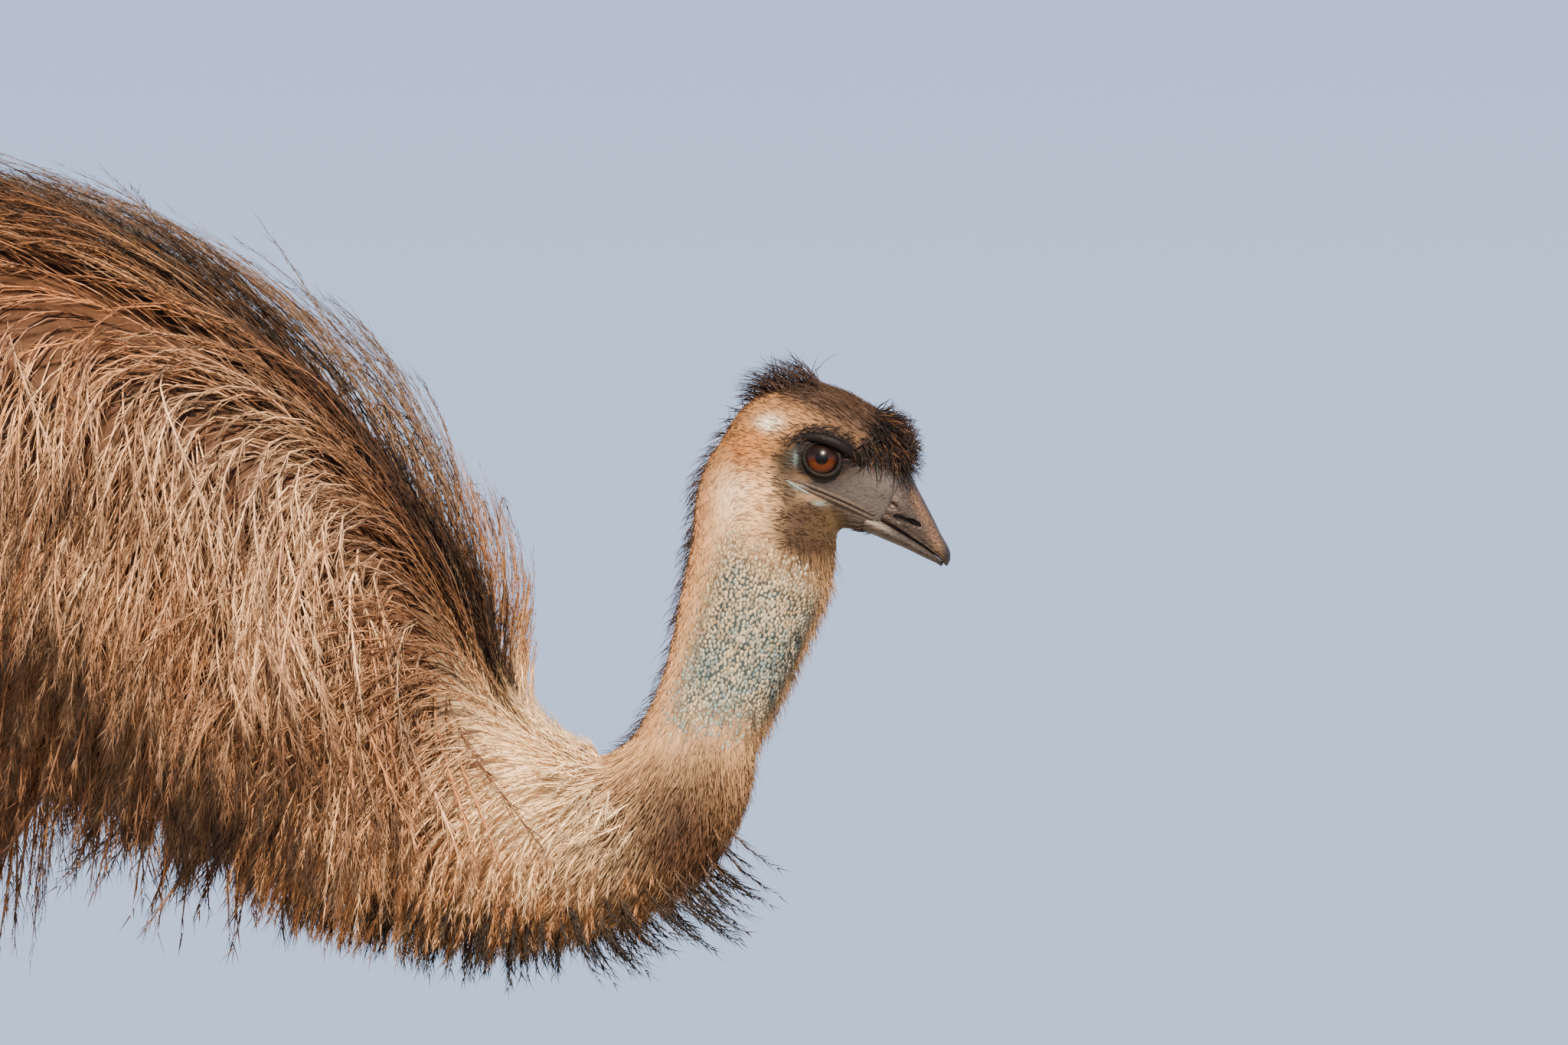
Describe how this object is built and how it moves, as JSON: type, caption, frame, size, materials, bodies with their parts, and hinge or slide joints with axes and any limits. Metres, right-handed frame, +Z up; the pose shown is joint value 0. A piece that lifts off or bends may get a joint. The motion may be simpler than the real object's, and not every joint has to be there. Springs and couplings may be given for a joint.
{
  "type": "emu",
  "caption": "Tall flightless bird standing still, its long neck carried low and bent up to a small head, with shaggy drooping plumage and long bare legs on three-toed feet.",
  "frame": {"origin": "on the floor, under the middle of the bird's outer sizes", "axes": "+X forward along the body, +Y to the bird's left, +Z up"},
  "size_m": [1.2404, 0.4292, 1.0401],
  "materials": {
    "plumage": "shaggy, matt",
    "neck_down": "soft, matt",
    "neck_skin": "granular, matt",
    "head_down": "short hair, matt",
    "horn": "worn horn",
    "eye": "wet gloss",
    "scale": "scaly, dry",
    "claw": "smooth horn"
  },
  "bodies": {
    "root": {"torso": "plumage", "tail": "plumage", "thigh_left": "plumage", "thigh_right": "plumage", "neck_base": "neck_down", "neck_low": "neck_down", "neck_middle": "neck_skin", "neck_top": "neck_skin", "head": "head_down", "bill_upper": "horn", "bill_lower": "horn", "eye_left": "eye", "eye_right": "eye", "shank_left": "scale", "shank_right": "scale", "foot_left": "scale", "foot_right": "scale", "claw_left_middle": "claw", "claw_left_inner": "claw", "claw_left_outer": "claw", "claw_right_middle": "claw", "claw_right_inner": "claw", "claw_right_outer": "claw"}
  },
  "joints": []
}
